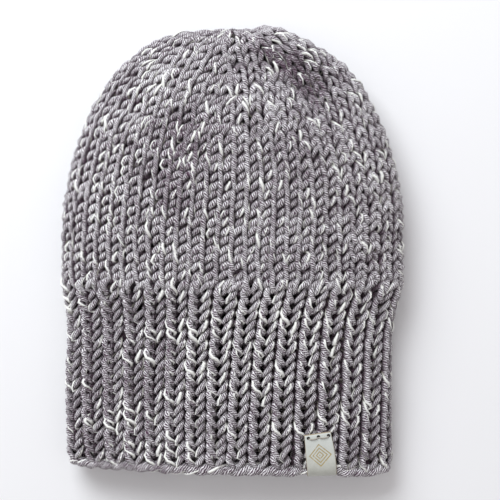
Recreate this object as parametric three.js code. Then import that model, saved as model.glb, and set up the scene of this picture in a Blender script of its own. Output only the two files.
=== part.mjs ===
import * as THREE from 'three';

// A chunky hand-knitted beanie, laid flat on its back.
// Millimetres, +Z up. The crown's tip points to +Y, the mouth opens to -Y, and X runs across.
// The origin lies on the resting face, under the middle of the whole piece.

// Walls of the knit, from crest to crest
const CROWN_WALL = 8.6;
const RIB_WALL = 11.4;

// Gap between the knit pieces, along Y
const SEAM_GAP = 0.3;

// Ribs: a knit column stands proud outside, and a purl column stands proud inside
const RIB_COUNT = 32;
const RIB_DEPTH = 3.4;
const RIB_PHASE = 0.16;
const POINTS_PER_RIB = 5;

// Cord of cast-on loops along the hem
const EDGE_THICK = 9.2;
const EDGE_DEPTH = 6.9;
const EDGE_SEGMENTS = 96;
const EDGE_SIDES = 7;

// Mesh steps of the crown
const CROWN_SEGMENTS = 68;
const RINGS_PER_SECTION = 2;

// Leather label folded over the hem, on the right half of the front.
// Its top edge and its fold each have a middle, a width and a turn, and the back leaf is a little shorter.
const LABEL_TOP = { x: 54.9, y: -118.3, width: 17.0, turn: 7.5 };
const LABEL_FOLD = { x: 57.9, y: -144.6, width: 19.2, turn: 2 };
const LABEL_BACK_SHARE = 0.88;
const LABEL_THICK = 1.3;
const LABEL_GAP = 0.35;
const LABEL_STEPS = { across: 4, along: 4, bend: 6 };

// The label's sewing draws the hem in
const HEM_PULL = { x: 57.5, spread: 26, depth: 3.8 };

// Form of a cross-section: 2 is an ellipse, and more is squarer
const TOP_SQUARENESS = 2.5;
const LOW_SQUARENESS = 4.2;
const SECTIONS_TO_ROUND_TIP = 3;
const SIDE_HEIGHT_SHARE = 0.46;
const ARC_SAMPLES = 720;

// Power of the bend that a course takes from yMid to ySide: 2 is a bow, and more only rounds the corners
const COURSE_BEND = 2;
const HEM_CORNER_BEND = 9;

// Sections from the hem to the crown's tip, of the outer face.
// yMid is on the middle line, ySide on the two side folds, half is the half width,
// low and high are the heights of the under and upper face, and axis is the shift of the middle in X.
// A low below zero is cut flat by the surface that the beanie lies on.
const SECTIONS = [
  { yMid: -138.5, ySide: -135.4, half: 106.3, low: -0.9, high: 33.0, axis: -1.6 },
  { yMid: -94.0, ySide: -94.0, half: 106.7, low: -0.9, high: 33.4, axis: -2.4 },
  { yMid: -50.0, ySide: -50.0, half: 106.4, low: -0.9, high: 34.8, axis: -1.2 },
  { yMid: -24.0, ySide: -24.0, half: 110.6, low: -0.9, high: 37.4, axis: 0.2 },
  { yMid: 0.0, ySide: 2.0, half: 111.3, low: -0.9, high: 40.0, axis: 0.2 },
  { yMid: 26.0, ySide: 32.0, half: 110.0, low: -0.9, high: 42.4, axis: 0.4 },
  { yMid: 52.0, ySide: 64.0, half: 103.4, low: -0.9, high: 43.2, axis: 0.5 },
  { yMid: 76.0, ySide: 94.0, half: 91.4, low: -0.9, high: 42.6, axis: 0.6 },
  { yMid: 97.0, ySide: 116.0, half: 77.0, low: -0.9, high: 40.0, axis: 0.9 },
  { yMid: 115.0, ySide: 131.5, half: 60.4, low: -0.4, high: 35.6, axis: 1.2 },
  { yMid: 129.5, ySide: 140.2, half: 43.0, low: 1.6, high: 30.0, axis: 0.8 },
  { yMid: 139.6, ySide: 144.4, half: 23.0, low: 6.0, high: 23.4, axis: -0.6 },
  { yMid: 145.7, ySide: 145.7, half: 0.0, low: 14.2, high: 14.2, axis: -2.6 },
];
const RIB_TOP_SECTION = 3;
const TIP_SECTION = SECTIONS.length - 1;

// Dents and raised folds of the upper layer: middle, radii, turn in degrees, and depth (raised below zero)
const DENTS = [
  { x: 29, y: 112, long: 25, short: 10, turn: -33, depth: 8.5 },
  { x: 3, y: 121, long: 9, short: 7, turn: 20, depth: 4.5 },
  { x: 47, y: 122, long: 24, short: 8, turn: -33, depth: -2.6 },
  { x: -29, y: 80, long: 22, short: 13, turn: 62, depth: 2.8 },
  { x: 66, y: 84, long: 26, short: 12, turn: -52, depth: 2.2 },
  { x: -70, y: -40, long: 24, short: 12, turn: 10, depth: 1.6 },
  { x: 20, y: 8, long: 60, short: 22, turn: 4, depth: 1.4 },
];

// Gathers where the last rows are drawn together at the tip
const GATHER_COUNT = 8;
const GATHER_DEPTH = 1.5;
const GATHER_SECTION = 10;
const GATHER_SPREAD = 1.3;

const COLUMNS = ['yMid', 'ySide', 'half', 'low', 'high', 'axis'];
const DERIVATIVE_STEP = 0.01;

// A smooth curve through one column of the table of sections
function columnAt(column, v) {
  const last = SECTIONS.length - 1;
  const i = Math.min(Math.max(Math.floor(v), 0), last - 1);
  const t = v - i;
  const b = SECTIONS[i][column];
  const c = SECTIONS[i + 1][column];
  const a = i > 0 ? SECTIONS[i - 1][column] : 2 * b - c;
  const d = i + 2 <= last ? SECTIONS[i + 2][column] : 2 * c - b;
  const pull = 0.5 * (c - a);
  const push = 0.5 * (d - b);
  return b + t * (pull + t * ((3 * (c - b) - 2 * pull - push) + t * (2 * (b - c) + pull + push)));
}

function sectionAt(v) {
  return Object.fromEntries(COLUMNS.map((column) => [column, columnAt(column, v)]));
}

function slopeAt(v) {
  const before = sectionAt(Math.max(v - DERIVATIVE_STEP, 0));
  const after = sectionAt(Math.min(v + DERIVATIVE_STEP, TIP_SECTION));
  return Object.fromEntries(COLUMNS.map((column) => [column, after[column] - before[column]]));
}

// The section moved inward by a distance, square to the outline seen from above and from the side
function insetSection(v, inset) {
  const at = sectionAt(v);
  const slope = slopeAt(v);
  const sideLength = Math.hypot(slope.half, slope.ySide);
  const topLength = Math.hypot(slope.yMid, slope.high);
  const lowLength = Math.hypot(slope.yMid, slope.low);
  return {
    axis: at.axis,
    half: Math.max(at.half - inset * slope.ySide / sideLength, 0),
    ySide: at.ySide + inset * slope.half / sideLength,
    yTop: at.yMid + inset * slope.high / topLength,
    high: at.high - inset * slope.yMid / topLength,
    yLow: at.yMid - inset * slope.low / lowLength,
    low: at.low + inset * slope.yMid / lowLength,
    side: at.low + (at.high - at.low) * SIDE_HEIGHT_SHARE,
    floor: at.low < 0 ? inset : 0,
    bend: v < 1 ? HEM_CORNER_BEND : COURSE_BEND,
    pull: HEM_PULL.depth * Math.max(1 - v, 0),
  };
}

function dentDepth(x, y) {
  let depth = 0;
  for (const dent of DENTS) {
    const turn = THREE.MathUtils.degToRad(dent.turn);
    const dx = x - dent.x;
    const dy = y - dent.y;
    const along = (dx * Math.cos(turn) + dy * Math.sin(turn)) / dent.long;
    const across = (dy * Math.cos(turn) - dx * Math.sin(turn)) / dent.short;
    depth += dent.depth * Math.exp(-(along * along + across * across));
  }
  return depth;
}

// Height of a squared-off half circle at a share of its half width
function riseAt(across, square) {
  return (1 - Math.min(Math.abs(across), 1) ** square) ** (1 / square);
}

// A point of the section at an angle: a quarter turn is the front's middle, zero is the right fold
function sectionPoint(section, squareTop, squareLow, angle) {
  const across = Math.cos(angle);
  const isTop = Math.sin(angle) >= 0;
  const rise = riseAt(across, isTop ? squareTop : squareLow);
  const x = section.axis + section.half * across;
  const yMiddle = isTop ? section.yTop : section.yLow;
  const y = yMiddle + (section.ySide - yMiddle) * Math.abs(across) ** section.bend;
  if (isTop) {
    const z = section.side + (section.high - section.side) * rise;
    const pull = section.pull * Math.exp(-(((x - HEM_PULL.x) / HEM_PULL.spread) ** 2));
    return new THREE.Vector3(x, y + pull, z - dentDepth(x, y) * rise);
  }
  const z = section.side - (section.side - section.low) * rise;
  return new THREE.Vector3(x, y, Math.max(z, section.floor));
}

// Squareness fades to a plain ellipse at the tip
function squareness(full, v) {
  const fade = THREE.MathUtils.clamp((TIP_SECTION - v) / SECTIONS_TO_ROUND_TIP, 0, 1);
  return 2 + (full - 2) * fade;
}

// Angles that share a ring out evenly by length, from the front's middle towards the right fold
function evenAngles(v, count, phase) {
  const section = insetSection(v, 0);
  const top = squareness(TOP_SQUARENESS, v);
  const low = squareness(LOW_SQUARENESS, v);
  const angles = [];
  const lengths = [0];
  let before = null;
  for (let k = 0; k <= ARC_SAMPLES; k += 1) {
    const angle = Math.PI / 2 - 2 * Math.PI * k / ARC_SAMPLES;
    const point = sectionPoint(section, top, low, angle);
    if (before) {
      lengths.push(lengths[k - 1] + point.distanceTo(before));
    }
    angles.push(angle);
    before = point;
  }
  const total = lengths[ARC_SAMPLES];
  const result = [];
  let k = 0;
  for (let n = 0; n < count; n += 1) {
    const share = total * (n + phase) / count;
    while (lengths[k + 1] < share) {
      k += 1;
    }
    const t = (share - lengths[k]) / (lengths[k + 1] - lengths[k]);
    result.push(angles[k] + t * (angles[k + 1] - angles[k]));
  }
  return result;
}

// One ring of points, with the inset of each point given by its place around
function ring(v, count, phase, insetOf) {
  const top = squareness(TOP_SQUARENESS, v);
  const low = squareness(LOW_SQUARENESS, v);
  return evenAngles(v, count, phase).map((angle, n) => {
    const section = insetSection(v, insetOf(n / count, v));
    return sectionPoint(section, top, low, angle);
  });
}

// A closed mesh from its points and triangles, turned so that its faces point out
function closedGeometry(points, triangles) {
  let volume = 0;
  const cross = new THREE.Vector3();
  for (const [a, b, c] of triangles) {
    volume += points[a].dot(cross.crossVectors(points[b], points[c]));
  }
  const index = triangles.flatMap(([a, b, c]) => (volume > 0 ? [a, b, c] : [a, c, b]));
  const geometry = new THREE.BufferGeometry().setFromPoints(points);
  geometry.setIndex(index);
  geometry.computeVertexNormals();
  return geometry;
}

// Quads between two rings, each cut into two triangles
function band(first, second, count) {
  const triangles = [];
  for (let n = 0; n < count; n += 1) {
    const next = (n + 1) % count;
    triangles.push([first + n, first + next, second + next], [first + n, second + next, second + n]);
  }
  return triangles;
}

// Rings joined in order into one skin that closes on itself
function loopOfRings(rings) {
  const count = rings[0].length;
  const points = rings.flat();
  const triangles = rings.flatMap((_, i) => band(i * count, ((i + 1) % rings.length) * count, count));
  return closedGeometry(points, triangles);
}

// Stockinette crown: a shell with an outer and an inner skin, closed at the tip and open below
function crownGeometry() {
  const places = [];
  const rings = (TIP_SECTION - RIB_TOP_SECTION) * RINGS_PER_SECTION;
  for (let i = 0; i < rings; i += 1) {
    places.push(RIB_TOP_SECTION + i / RINGS_PER_SECTION);
  }
  const gather = (share, v) => {
    const near = Math.exp(-(((v - GATHER_SECTION) / GATHER_SPREAD) ** 2));
    return GATHER_DEPTH * near * (0.5 - 0.5 * Math.cos(2 * Math.PI * GATHER_COUNT * share));
  };
  const outer = places.map((v) => ring(v, CROWN_SEGMENTS, 0, gather));
  const inner = places.map((v) => ring(v, CROWN_SEGMENTS, 0, (share, at) => CROWN_WALL + gather(share, at)));
  const tip = SECTIONS[TIP_SECTION];
  const tipOut = new THREE.Vector3(tip.axis, tip.yMid, tip.high);
  const tipIn = new THREE.Vector3(tip.axis, tip.yMid - CROWN_WALL, tip.high);
  const points = [...inner.reverse().flat(), ...outer.flat(), tipIn, tipOut];
  const last = points.length - 1;
  const triangles = [];
  for (let i = 0; i < 2 * rings - 1; i += 1) {
    triangles.push(...band(i * CROWN_SEGMENTS, (i + 1) * CROWN_SEGMENTS, CROWN_SEGMENTS));
  }
  const lastRing = (2 * rings - 1) * CROWN_SEGMENTS;
  for (let n = 0; n < CROWN_SEGMENTS; n += 1) {
    const next = (n + 1) % CROWN_SEGMENTS;
    triangles.push([next, n, last - 1], [lastRing + n, lastRing + next, last]);
  }
  return closedGeometry(points, triangles);
}

// Ribbed band: a corrugated tube, open at both ends
function ribGeometry() {
  const count = RIB_COUNT * POINTS_PER_RIB;
  const phase = RIB_PHASE * POINTS_PER_RIB;
  const wave = (share) => 0.5 - 0.5 * Math.cos(2 * Math.PI * RIB_COUNT * share);
  const outerInset = (share) => RIB_DEPTH * wave(share);
  const innerInset = (share) => RIB_WALL - RIB_DEPTH * (1 - wave(share));
  const places = [0, 1, 2, RIB_TOP_SECTION];
  const outer = places.map((v) => ring(v, count, phase, outerInset));
  const inner = places.map((v) => ring(v, count, phase, innerInset));
  for (const point of [...outer.at(-1), ...inner.at(-1)]) {
    point.y -= SEAM_GAP;
  }
  return loopOfRings([...outer, ...inner.reverse()]);
}

// Cord of cast-on loops: an oval section carried round the hem, in the middle of the rib's wall
function edgeGeometry() {
  const path = ring(0, EDGE_SEGMENTS, 0, () => RIB_WALL / 2);
  const middle = path.reduce((sum, point) => sum.add(point), new THREE.Vector3()).divideScalar(path.length);
  const rings = [];
  for (let k = 0; k < EDGE_SIDES; k += 1) {
    const angle = 2 * Math.PI * (k + 0.5) / EDGE_SIDES;
    rings.push(path.map((point, n) => {
      const before = path[(n + EDGE_SEGMENTS - 1) % EDGE_SEGMENTS];
      const after = path[(n + 1) % EDGE_SEGMENTS];
      const along = new THREE.Vector3().subVectors(after, before).normalize();
      const out = new THREE.Vector3(0, 1, 0).cross(along).normalize();
      const isOut = out.dot(new THREE.Vector3().subVectors(point, middle)) > 0;
      out.multiplyScalar(isOut ? 1 : -1);
      const moved = point.clone().addScaledVector(out, Math.cos(angle) * EDGE_THICK / 2);
      const y = point.y - SEAM_GAP - EDGE_DEPTH / 2 + Math.sin(angle) * EDGE_DEPTH / 2;
      return moved.setY(y);
    }));
  }
  return loopOfRings(rings);
}

// Triangles over a flat ring of points that runs out along one skin and back along the other
function capOfRing(start, count, isFirst) {
  const triangles = [];
  for (let k = 0; k < count / 2 - 1; k += 1) {
    const out = [start + k, start + k + 1];
    const back = [start + count - 2 - k, start + count - 1 - k];
    triangles.push([out[0], out[1], back[0]], [out[0], back[0], back[1]]);
  }
  return isFirst ? triangles.map(([a, b, c]) => [a, c, b]) : triangles;
}

// Height of the upper layer above the hem's section, at a distance across and an inset
function hemFaceHeight(x, inset) {
  const section = insetSection(0, inset);
  const rise = riseAt((x - section.axis) / section.half, TOP_SQUARENESS);
  return section.side + (section.high - section.side) * rise;
}

// Leather label: one leaf outside, a bend round the hem and one leaf inside
function labelGeometry() {
  const bendRadius = RIB_WALL / 2;
  const bendY = LABEL_FOLD.y + LABEL_THICK + bendRadius;
  const fullHeight = LABEL_TOP.y - LABEL_FOLD.y;
  // Places along the leaf, each with the angle that its outer side faces, from up to down
  const places = [];
  for (let i = 0; i <= LABEL_STEPS.along; i += 1) {
    places.push({ y: LABEL_TOP.y + (bendY - LABEL_TOP.y) * i / LABEL_STEPS.along, turn: 0 });
  }
  for (let i = 1; i < LABEL_STEPS.bend; i += 1) {
    places.push({ y: bendY, turn: Math.PI * i / LABEL_STEPS.bend });
  }
  const backTop = LABEL_FOLD.y + fullHeight * LABEL_BACK_SHARE;
  for (let i = 0; i <= LABEL_STEPS.along; i += 1) {
    places.push({ y: bendY + (backTop - bendY) * i / LABEL_STEPS.along, turn: Math.PI });
  }
  const skin = (lift) => places.map((place) => {
    const y = place.y - Math.sin(place.turn) * (bendRadius + lift);
    const share = (y - LABEL_FOLD.y) / fullHeight;
    const width = THREE.MathUtils.lerp(LABEL_FOLD.width, LABEL_TOP.width, share);
    const midX = THREE.MathUtils.lerp(LABEL_FOLD.x, LABEL_TOP.x, share);
    const turn = THREE.MathUtils.degToRad(THREE.MathUtils.lerp(LABEL_FOLD.turn, LABEL_TOP.turn, share));
    const row = [];
    for (let k = 0; k <= LABEL_STEPS.across; k += 1) {
      const across = width * (k / LABEL_STEPS.across - 0.5);
      const x = midX + across * Math.cos(turn);
      const outZ = hemFaceHeight(x, -LABEL_GAP);
      const inZ = hemFaceHeight(x, RIB_WALL + LABEL_GAP);
      const z = (outZ + inZ) / 2 + Math.cos(place.turn) * ((outZ - inZ) / 2 + lift);
      row.push(new THREE.Vector3(x, y + across * Math.sin(turn), z));
    }
    return row;
  });
  const inner = skin(0);
  const rings = skin(LABEL_THICK).map((row, i) => [...row, ...inner[i].reverse()]);
  const count = rings[0].length;
  const lastStart = (rings.length - 1) * count;
  const triangles = [...capOfRing(0, count, true), ...capOfRing(lastStart, count, false)];
  for (let start = 0; start < lastStart; start += count) {
    triangles.push(...band(start, start + count, count));
  }
  return closedGeometry(rings.flat(), triangles);
}

const KNIT = { roughness: 0.95, metalness: 0 };
const crownYarn = new THREE.MeshStandardMaterial({ color: 0x928d93, ...KNIT });
const ribYarn = new THREE.MeshStandardMaterial({ color: 0x878287, ...KNIT });
const edgeYarn = new THREE.MeshStandardMaterial({ color: 0x8c878c, ...KNIT });
const leather = new THREE.MeshStandardMaterial({ color: 0xd8d5c6, roughness: 0.55, metalness: 0 });

const pieces = [
  { name: 'crown', geometry: crownGeometry(), material: crownYarn },
  { name: 'rib_band', geometry: ribGeometry(), material: ribYarn },
  { name: 'cast_on_edge', geometry: edgeGeometry(), material: edgeYarn },
  { name: 'label', geometry: labelGeometry(), material: leather },
];

const group = new THREE.Group();
for (const piece of pieces) {
  const mesh = new THREE.Mesh(piece.geometry, piece.material);
  mesh.name = piece.name;
  group.add(mesh);
}

export default group;
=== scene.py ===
import math

import bpy
import numpy as np
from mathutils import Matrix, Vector


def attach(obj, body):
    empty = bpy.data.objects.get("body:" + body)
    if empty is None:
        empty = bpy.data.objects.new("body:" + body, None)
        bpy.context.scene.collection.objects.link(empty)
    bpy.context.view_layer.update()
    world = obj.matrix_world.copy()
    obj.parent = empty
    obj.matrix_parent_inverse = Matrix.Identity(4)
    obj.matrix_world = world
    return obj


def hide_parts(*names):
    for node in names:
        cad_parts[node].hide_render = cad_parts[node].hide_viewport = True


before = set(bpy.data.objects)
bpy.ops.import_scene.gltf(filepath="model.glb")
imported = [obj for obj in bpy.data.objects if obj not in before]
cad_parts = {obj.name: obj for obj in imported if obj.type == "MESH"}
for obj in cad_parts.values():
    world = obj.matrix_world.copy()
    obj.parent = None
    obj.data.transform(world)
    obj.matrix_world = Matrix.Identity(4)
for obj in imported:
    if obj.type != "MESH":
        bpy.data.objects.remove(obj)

# A chunky hand-knitted beanie, laid flat on its back, made stitch by stitch.
# Shapes are worked out in millimetres in the frame's own axes, and MM turns them into metres.
MM = 0.001
TURN = 2 * math.pi
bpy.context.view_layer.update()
BODY = "root"
RNG = np.random.default_rng(7)

# Walls of the knit, from crest to crest, and where the ribs' wall gives way to the crown's, in courses
CROWN_WALL = 8.6
RIB_WALL = 11.4
WALL_CHANGE = {"before": 0.3, "courses": 1.2}

# Sections from the hem to the tip: middle line, side folds, half width, under and upper face, sideways shift
SECTION_COLUMNS = ("y_mid", "y_side", "half", "low", "high", "axis")
SECTIONS = (
    (-138.5, -136.5, 106.3, -0.9, 33.0, -1.6),
    (-94.0, -94.0, 106.7, -0.9, 33.4, -2.4),
    (-50.0, -50.0, 106.4, -0.9, 34.8, -1.2),
    (-24.0, -24.0, 110.6, -0.9, 37.4, 0.2),
    (0.0, 2.0, 111.3, -0.9, 40.0, 0.2),
    (26.0, 32.0, 110.0, -0.9, 42.4, 0.4),
    (52.0, 64.0, 103.4, -0.9, 43.2, 0.5),
    (76.0, 94.0, 91.4, -0.9, 42.6, 0.6),
    (97.0, 116.0, 77.0, -0.9, 40.0, 0.9),
    (115.0, 131.0, 60.4, -0.4, 35.6, 0.2),
    (129.5, 140.2, 43.0, 1.6, 30.0, -1.6),
    (139.6, 144.4, 24.0, 6.0, 23.4, -1.0),
    (145.7, 145.7, 0.0, 14.2, 14.2, 0.0),
)
TABLE = np.array(SECTIONS)
RIB_TOP = 3
TIP = len(SECTIONS) - 1
# The tip itself is a point, so the rows at which the way round is measured end just before it
LAST_PLACE = TIP - 0.02
ROWS_PER_SECTION = 20

# Powers that square off a section's upper and lower half, and how many sections before the tip turn round
TOP_SQUARENESS = 2.5
LOW_SQUARENESS = 4.2
ROUND = 2
SECTIONS_TO_ROUND_TIP = 3

# Height of the side folds as a share of the whole, and powers by which courses bend towards them
SIDE_HEIGHT_SHARE = 0.46
COURSE_BEND = 2
HEM_CORNER_BEND = 9

# The hem is drawn up at the label and rises to its left corner, and the outline is pushed up beside the tip
HEM_PULL = {"x": 57.5, "spread": 10, "depth": 6.2}
HEM_TILT = {"x": 95, "rise": 0.028, "sections": 3}
TIP_PUSH = {"x": 27, "spread": 15, "height": 3.0, "from": 9}

# Dents and raised folds of the upper layer: middle, radii, turn in degrees, and depth (raised below zero)
DENT_COLUMNS = ("x", "y", "long", "short", "turn", "depth")
DENTS = (
    (40, 106, 30, 13, -34, 9.5),
    (3, 121, 9, 7, 20, 4.5),
    (50, 127, 26, 8, -36, -2.8),
    (-29, 80, 22, 13, 62, 2.8),
    (66, 84, 26, 12, -52, 2.2),
    (-70, -40, 24, 12, 10, 1.6),
    (20, 8, 60, 22, 4, 1.4),
)

# Spots of painted shade, mostly in the dents of the upper layer, and of painted light (below zero), mostly
# towards the sides, partly also wool spun darker or paler: middle, radii, turn in degrees, and amount
PAINTED_SPOT_COLUMNS = ("x", "y", "long", "short", "turn", "amount")
PAINTED_LIGHT_SHADE_AND_DYE_SPOTS = (
    (2, 119, 6, 4, 0, 0.55),
    (21, 129, 9, 4.5, -25, 0.45),
    (27, 123, 11, 6, -30, 0.55),
    (41, 116, 15, 8, -30, 0.95),
    (44, 106, 9, 8, 0, 0.30),
    (52, 98, 9, 8, -60, 0.60),
    (-31, 71, 20, 17, 0, 0.60),
    (-36, 40, 18, 22, 0, 0.40),
    (-54, 106, 18, 10, 32, -0.50),
    (-66, 85, 12, 9, 0, -0.28),
    (-95, 44, 15, 48, 0, -0.30),
    (90, 34, 26, 48, 0, -0.26),
    (12, 97, 10, 8, 0, -0.30),
    (40, 58, 14, 22, 0, 0.30),
    (-72, 101, 6, 2.5, -10, 0.50),
    (15, -29, 24, 7, 0, -0.34),
    (86, -19, 28, 7, 0, -0.30),
    (-60, -18, 20, 6, 0, -0.24),
    (-40, -55, 7, 26, 0, 0.30),
    (-85, -124, 34, 9, 0, 0.24),
    (-70, -78, 40, 46, 0, 0.22),
    (74, 92, 18, 9, -55, -0.26),
)

# Places where the white strand comes up more: middle, radii, turn in degrees, and how far in millimetres
STRAND_COLUMNS = ("x", "y", "long", "short", "turn", "rise")
STRAND_PLACES = (
    (-48, 101, 15, 10, 0, 0.34),
    (-80, 80, 12, 10, 0, 0.24),
    (35, 131, 15, 6, -40, 0.36),
    (22, 99, 20, 13, 0, 0.30),
    (-26, 74, 12, 10, 0, 0.24),
    (70, 60, 12, 12, 0, 0.20),
    (-74, -31, 30, 10, 0, 0.34),
    (-78, -72, 30, 5, 0, 0.34),
    (-78, -86, 30, 4, 0, 0.34),
    (-74, -108, 32, 6, 0, 0.34),
    (10, -70, 18, 22, 0, 0.24),
    (50, -66, 22, 20, 0, 0.26),
    (72, -100, 24, 14, 0, 0.26),
    (103, -70, 7, 44, 0, 0.34),
    (-104, -40, 7, 40, 0, 0.26),
)

# Loose places of the upper layer, where the stitches gape: middle, reach, and how far they draw apart
LOOSE_COLUMNS = ("x", "y", "reach", "gape")
LOOSE_PLACES = (
    (-68.0, -54.0, 5.5, 2.6),
    (92.0, -24.5, 5.0, 2.4),
    (75.5, -25.5, 4.0, 1.8),
    (37.0, -128.5, 5.0, 2.2),
    (-58.5, -34.0, 5.0, 1.8),
)
# Height above which a point is in the upper layer, and how near a place's middle the push fades out
UPPER_ABOVE = 15
LOOSE_CORE = 0.6

# Knitting: stitches round, courses, and how much the courses grow up the crown
RIB_STITCHES = 64
RIB_COURSES = 17
CROWN_COURSES = 29
CROWN_GROWTH = 0.14
# Courses are spaced partly by the length of the middle line, and else by that of the side folds
SHARE_OF_MIDDLE = 0.7
# The crown narrows by a stitch a sector, at the first round and where stitches would be narrower than this
SECTORS = 8
NARROW_BELOW = 7.5
# Courses of each piece, from the first to the one after the last
RIB_BANDS = ((0, 6), (6, 12), (12, 17))
CROWN_BANDS = ((0, 6), (6, 12), (12, 19), (19, 29))
# The node that each kind of yarn stands for, and its slot
YARN_PARTS = {
    "edge": ("cast_on_edge", "edge_yarn"),
    "rib": ("rib_band", "rib_yarn"),
    "crown": ("crown", "crown_yarn"),
}

# Sideways drift of the stitches in millimetres, measured at some sections: share round, then the drifts
DRIFT_SECTIONS = (0, 3, 3.7, 5.6, 12)
DRIFTS = (
    (-0.250, 5.0, 2.0, 2.5, 5.0, 6.0),
    (-0.180, 6.4, 2.5, 3.0, 6.0, 6.0),
    (-0.115, 3.4, 3.7, 3.5, 6.3, 6.0),
    (-0.050, 1.1, 3.7, 3.7, 6.5, 7.0),
    (0.000, 0.0, 7.8, 5.6, 7.6, 8.0),
    (0.040, -0.3, 7.9, 5.4, 8.4, 8.0),
    (0.105, 1.6, 7.1, 6.5, 7.7, 8.0),
    (0.167, 4.7, 7.9, 6.7, 7.5, 8.0),
    (0.250, 4.0, 6.0, 6.0, 7.0, 7.0),
    (0.500, 4.0, 4.0, 5.0, 6.0, 6.0),
)
# Length of the way round that turns a drift into a share, and shift of the ribs' stitches, in stitches
MIDDLE_ROUND = 463
RIB_OFFSET = 0.18

# A loop's shape at eighths of its length, from its left foot over its head to its right foot: sideways in
# stitches from even spacing, up in courses from its middle, out from the wall's middle, and the yarn's radius
LOOP_COLUMNS = ("across", "up", "out", "radius")
RIB_LOOP = (
    (0, -1, 0, 2),
    (0.175, -0.76, 2.7, 1.35),
    (-0.41, -0.26, 3.4, 2.1),
    (-0.545, 0.45, 2.6, 2.05),
    (0.03, 1, -3.6, 1.5),
    (0.585, 0.45, 1.3, 1.6),
    (0.29, -0.14, 3.3, 1.85),
    (-0.29, -0.76, 2.6, 1.3),
)
PURL_LOOP = (
    (0, -1, 0, 2),
    (0.15, -0.66, -1.7, 1.65),
    (-0.20, 0, -3.2, 2.25),
    (-0.30, 0.64, -2.2, 2.2),
    (0, 1, 0.2, 2),
    (0.30, 0.64, -2.2, 2.1),
    (0.20, 0, -3.2, 2.25),
    (-0.15, -0.66, -1.7, 1.65),
)
CROWN_LOOP = (
    (0, -1, -1.7, 1.8),
    (0.10, -0.62, 1.1, 1.6),
    (-0.05, 0, 2.5, 1.7),
    (-0.185, 0.62, 1.1, 1.6),
    (0, 1, -1.9, 1.65),
    (0.335, 0.50, 0.1, 1.75),
    (-0.005, -0.02, 2.2, 2.05),
    (-0.375, -0.54, 0.2, 1.75),
)
EVEN_LOOP = (
    (0, -1, -2.6, 1.6),
    (0.24, -0.66, 0.4, 1.5),
    (-0.03, -0.02, 2.5, 1.8),
    (-0.33, 0.64, 0.2, 1.6),
    (0, 1, -2.7, 1.55),
    (0.33, 0.64, 0.0, 1.6),
    (0.03, -0.02, 2.5, 1.8),
    (-0.24, -0.66, 0.3, 1.5),
)
# Where crown loops turn into even ones: beyond a line at the right and a corner at the upper right
EVEN_RIGHT = {"x": 50, "over": 40}
EVEN_UPPER = {"x": -5, "over_x": 20, "y": 55, "over_y": 25}
# How far the crown's first round stands out, and how far its stitches on the purl ribs start behind
FIRST_ROUND = {"out": 0.5, "behind": 1.5}

# Unevenness of stitches: standard deviations in the units of a loop's table, and of a radius as a share
RIB_JITTER = {"across": 0.045, "up": 0.06, "out": 0.2, "radius": 0.05}
CROWN_JITTER = {"across": 0.055, "up": 0.085, "out": 0.32, "radius": 0.08}

# Sides of the tubes of yarn and strand, and steps along a stitch
TUBE_SIDES = 8
STRAND_SIDES = 4
STEPS_PER_STITCH = 16
# How far out of a yarn's path a second one lies, which tells it where outward is
OUTWARD = 0.5
EDGE_OUTWARD = 9

# The strand wound round the yarn: its section, how far out it lies in radii of the yarn, and length of a turn
RIB_STRAND = {"width": 1.75, "height": 1.05, "depth": 0.95, "pitch": 27.0}
CROWN_STRAND = {"width": 1.5, "height": 1.0, "depth": 0.89, "pitch": 28.0}
EDGE_STRAND = {"width": 1.8, "height": 1.0, "depth": 0.96, "pitch": 100.0}
# Its unevenness, and how much deeper it lies before the places above raise it
STRAND_JITTER = {"turn": 0.5, "rise": 0.4, "height": 0.25}
STRAND_SUNK = 0.12

# Cast-on edge: turns round the hem, swing of the two yarns, and how far their middle lies below the hem
EDGE_TWISTS = 26
EDGE_STARTS = (0.0, 0.5)
EDGE_YARN_RADIUS = 2.9
EDGE_SWING = {"out": 1.35, "up": 1.0}
EDGE_MIDDLE = -3.75
EDGE_JITTER = {"turn": 0.25, "out": 0.2, "up": 0.42, "radius": 0.10}
# Its yarn shows twice the plies in a longer twist, and all of it lies open to the light
EDGE_LAY = (0.8, 2.0)
EDGE_HALF_WALL = 3.4
OPEN_TO_LIGHT = 2 * EDGE_HALF_WALL

# Leather label, folded over the hem: top edge and fold, and the holes' places across and down from the top
LABEL_TOP = {"x": 54.2, "y": -115.6, "width": 17.0, "turn": 7.5}
LABEL_FOLD = {"x": 57.4, "y": -143.8, "width": 18.8, "turn": 2}
LABEL_THICK = 1.3
LABEL_GAP = 0.35
LABEL_BACK_SHARE = 0.88
LABEL_BOW = 0.9
LABEL_HOLES = ((-6.0, 2.3), (0.4, 2.2), (6.7, 2.3))
LABEL_STEPS = {"front": 14, "bend": 12, "back": 8, "across": 12}
# Width of the rounded edges as a share of half the label, and the angles of their points
LABEL_EDGE = 0.08
LABEL_EDGE_ANGLES = (1.05, 0.52, 0, -0.52, -1.05)
# The print: its middle down the label, width against height, spacing of its lines, and reach
PRINT = {"y": 14.0, "narrow": 0.9, "step": 1.15, "reach": 8.05}

# Sewing thread: its tube, how far it hangs below the holes, and how it comes out of them over the leather
THREAD = {"radius": 0.42, "sides": 6, "steps": 14}
THREAD_PLACE = {"down": 0.45, "sag": 0.6, "sunk": 0.35, "lift": 0.75, "rise": 2.2}

# Maps for baking: shape of the grid of stitches, margins of its cells, and places of the label's faces
BAKE_GRID = 0.55
BAKE_MARGIN = {"along": 0.04, "around": 0.06}
LABEL_SKIN_MAP = {"from": 0.02, "around": 0.9, "along": 0.96}
LABEL_END_MAP = {"x": 0.96, "half": 0.02, "y": 0.1, "height": 0.04, "apart": 0.5, "lift": 0.5}

# No point of the knit lies lower than this over the floor
FLOOR_GAP = 0.05

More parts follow.
